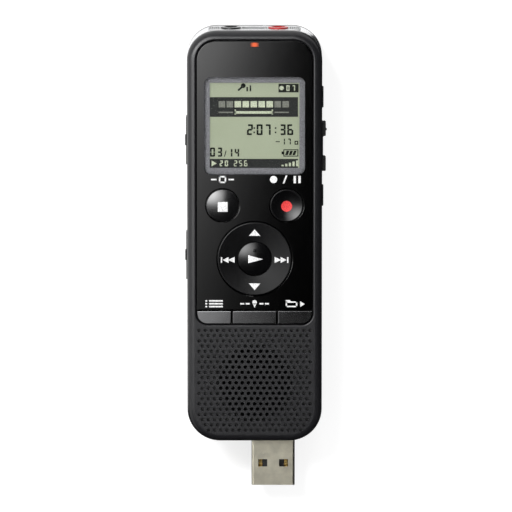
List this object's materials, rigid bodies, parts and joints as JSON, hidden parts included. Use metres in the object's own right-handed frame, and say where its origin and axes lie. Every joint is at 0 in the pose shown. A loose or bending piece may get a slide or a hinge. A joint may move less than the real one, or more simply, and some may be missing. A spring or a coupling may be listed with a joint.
{
  "type": "digital voice recorder",
  "caption": "Slim pocket voice recorder with a display, transport keys, a navigation ring, a speaker grille, side controls, end jacks and a slide-out computer plug.",
  "frame": {"origin": "middle of the footprint, with the plug out, on the surface that the flat back rests on", "axes": "+Z out of the display, +Y along the case towards the jacks, +X to the right of someone who looks at the display with the jacks away from them"},
  "size_m": [0.0391, 0.1284, 0.0195],
  "materials": {
    "housing": "fine grained matt",
    "gloss_black": "high gloss",
    "band": "bright metallic paint",
    "plate": "satin",
    "window": "clear, polished",
    "frame_grey": "satin",
    "screen": "reflective liquid crystal cell",
    "white_plastic": "satin",
    "board_green": "solder mask",
    "chip_black": "moulded",
    "satin_grey": "satin",
    "inner_plastic": "moulded",
    "dome_steel": "pressed",
    "membrane": "silicone",
    "amber_lens": "tinted",
    "cell": "printed sleeve, bare",
    "contact_steel": "nickel plated",
    "speaker_black": "moulded",
    "magnet": "plated",
    "foam": "cellular",
    "cone": "thin film",
    "ring_black": "moulded",
    "ring_red": "moulded",
    "plug_steel": "nickel plated sheet",
    "gold": "gold flash",
    "screw_steel": "black zinc"
  },
  "bodies": {
    "case": {"front_housing": "housing", "rear_housing": "housing", "top_band": "band", "jack_plate": "plate", "front_panel": "gloss_black", "display_window": "window", "display_frame": "frame_grey", "display_glass": "screen", "display_backlight": "white_plastic", "main_board": "board_green", "processor": "chip_black", "memory_chip": "chip_black", "dome_switches": "dome_steel", "key_membrane": "membrane", "indicator_lens": "amber_lens", "indicator_led": "white_plastic", "side_switches": "inner_plastic", "battery_tray": "inner_plastic", "battery_left": "cell", "battery_right": "cell", "contact_bridge": "contact_steel", "contact_positive": "contact_steel", "contact_negative": "contact_steel", "spring_left": "contact_steel", "spring_right": "contact_steel", "door_hinge_pin": "contact_steel", "speaker_basket": "speaker_black", "speaker_magnet": "magnet", "speaker_gasket": "foam", "speaker_cone": "cone", "headphone_jack": "inner_plastic", "headphone_ring": "ring_black", "microphone_jack": "inner_plastic", "microphone_ring": "ring_red", "microphone_capsules": "contact_steel", "microphone_boots": "foam", "carriage_bracket": "contact_steel", "case_screws": "screw_steel", "board_screws": "screw_steel"},
    "plug": {"plug_shell": "plug_steel", "plug_tongue": "white_plastic", "plug_contacts": "gold", "plug_carriage": "inner_plastic", "plug_board": "board_green", "plug_lever": "gloss_black"},
    "stop_key": {"stop_key": "gloss_black"},
    "record_key": {"record_key": "gloss_black"},
    "play_key": {"play_key": "gloss_black"},
    "menu_key": {"menu_key": "satin_grey"},
    "mark_key": {"mark_key": "satin_grey"},
    "folder_key": {"folder_key": "satin_grey"},
    "navigation_ring": {"navigation_ring": "gloss_black"},
    "rocker_plate": {"rocker_plate": "inner_plastic"},
    "hold_slider": {"hold_slider": "inner_plastic"},
    "noise_slider": {"noise_slider": "inner_plastic"},
    "repeat_button": {"repeat_button": "gloss_black"},
    "scene_button": {"scene_button": "gloss_black"},
    "volume_rocker": {"volume_rocker": "gloss_black"},
    "battery_door": {"battery_door": "housing"}
  },
  "joints": [
    {"name": "plug_slide", "type": "slide", "parent": "case", "child": "plug", "axis": [0, 1, 0], "range_m": [0, 0.01415]},
    {"name": "stop_press", "type": "slide", "parent": "case", "child": "stop_key", "axis": [0, 0, -1], "range_m": [0, 0.00025], "stiffness_N_per_m": 1500},
    {"name": "record_press", "type": "slide", "parent": "case", "child": "record_key", "axis": [0, 0, -1], "range_m": [0, 0.00025], "stiffness_N_per_m": 1500},
    {"name": "play_press", "type": "slide", "parent": "case", "child": "play_key", "axis": [0, 0, -1], "range_m": [0, 0.00025], "stiffness_N_per_m": 1500},
    {"name": "menu_press", "type": "slide", "parent": "case", "child": "menu_key", "axis": [0, 0, -1], "range_m": [0, 0.00025], "stiffness_N_per_m": 1500},
    {"name": "mark_press", "type": "slide", "parent": "case", "child": "mark_key", "axis": [0, 0, -1], "range_m": [0, 0.00025], "stiffness_N_per_m": 1500},
    {"name": "folder_press", "type": "slide", "parent": "case", "child": "folder_key", "axis": [0, 0, -1], "range_m": [0, 0.00025], "stiffness_N_per_m": 1500},
    {"name": "ring_sideways", "type": "hinge", "parent": "case", "child": "rocker_plate", "pos_m": [0, 0.00115, 0.0162], "axis": [0, 1, 0], "range_deg": [-1, 1], "stiffness_Nm_per_rad": 0.3},
    {"name": "ring_lengthways", "type": "hinge", "parent": "rocker_plate", "child": "navigation_ring", "pos_m": [0, 0.00115, 0.0162], "axis": [1, 0, 0], "range_deg": [-1, 1], "stiffness_Nm_per_rad": 0.3},
    {"name": "hold_slide", "type": "slide", "parent": "case", "child": "hold_slider", "axis": [0, 1, 0], "range_m": [-0.002, 0.002]},
    {"name": "noise_slide", "type": "slide", "parent": "case", "child": "noise_slider", "axis": [0, 1, 0], "range_m": [-0.002, 0.002]},
    {"name": "repeat_press", "type": "slide", "parent": "case", "child": "repeat_button", "axis": [-1, 0, 0], "range_m": [0, 0.00025], "stiffness_N_per_m": 1500},
    {"name": "scene_press", "type": "slide", "parent": "case", "child": "scene_button", "axis": [-1, 0, 0], "range_m": [0, 0.00025], "stiffness_N_per_m": 1500},
    {"name": "volume_rock", "type": "hinge", "parent": "case", "child": "volume_rocker", "pos_m": [0.016, 0.03155, 0.0116], "axis": [0, 0, 1], "range_deg": [-2.2, 2.2], "stiffness_Nm_per_rad": 0.3},
    {"name": "door_swing", "type": "hinge", "parent": "case", "child": "battery_door", "pos_m": [0, -0.00425, 0.0008], "axis": [-1, 0, 0], "range_deg": [0, 90]}
  ]
}
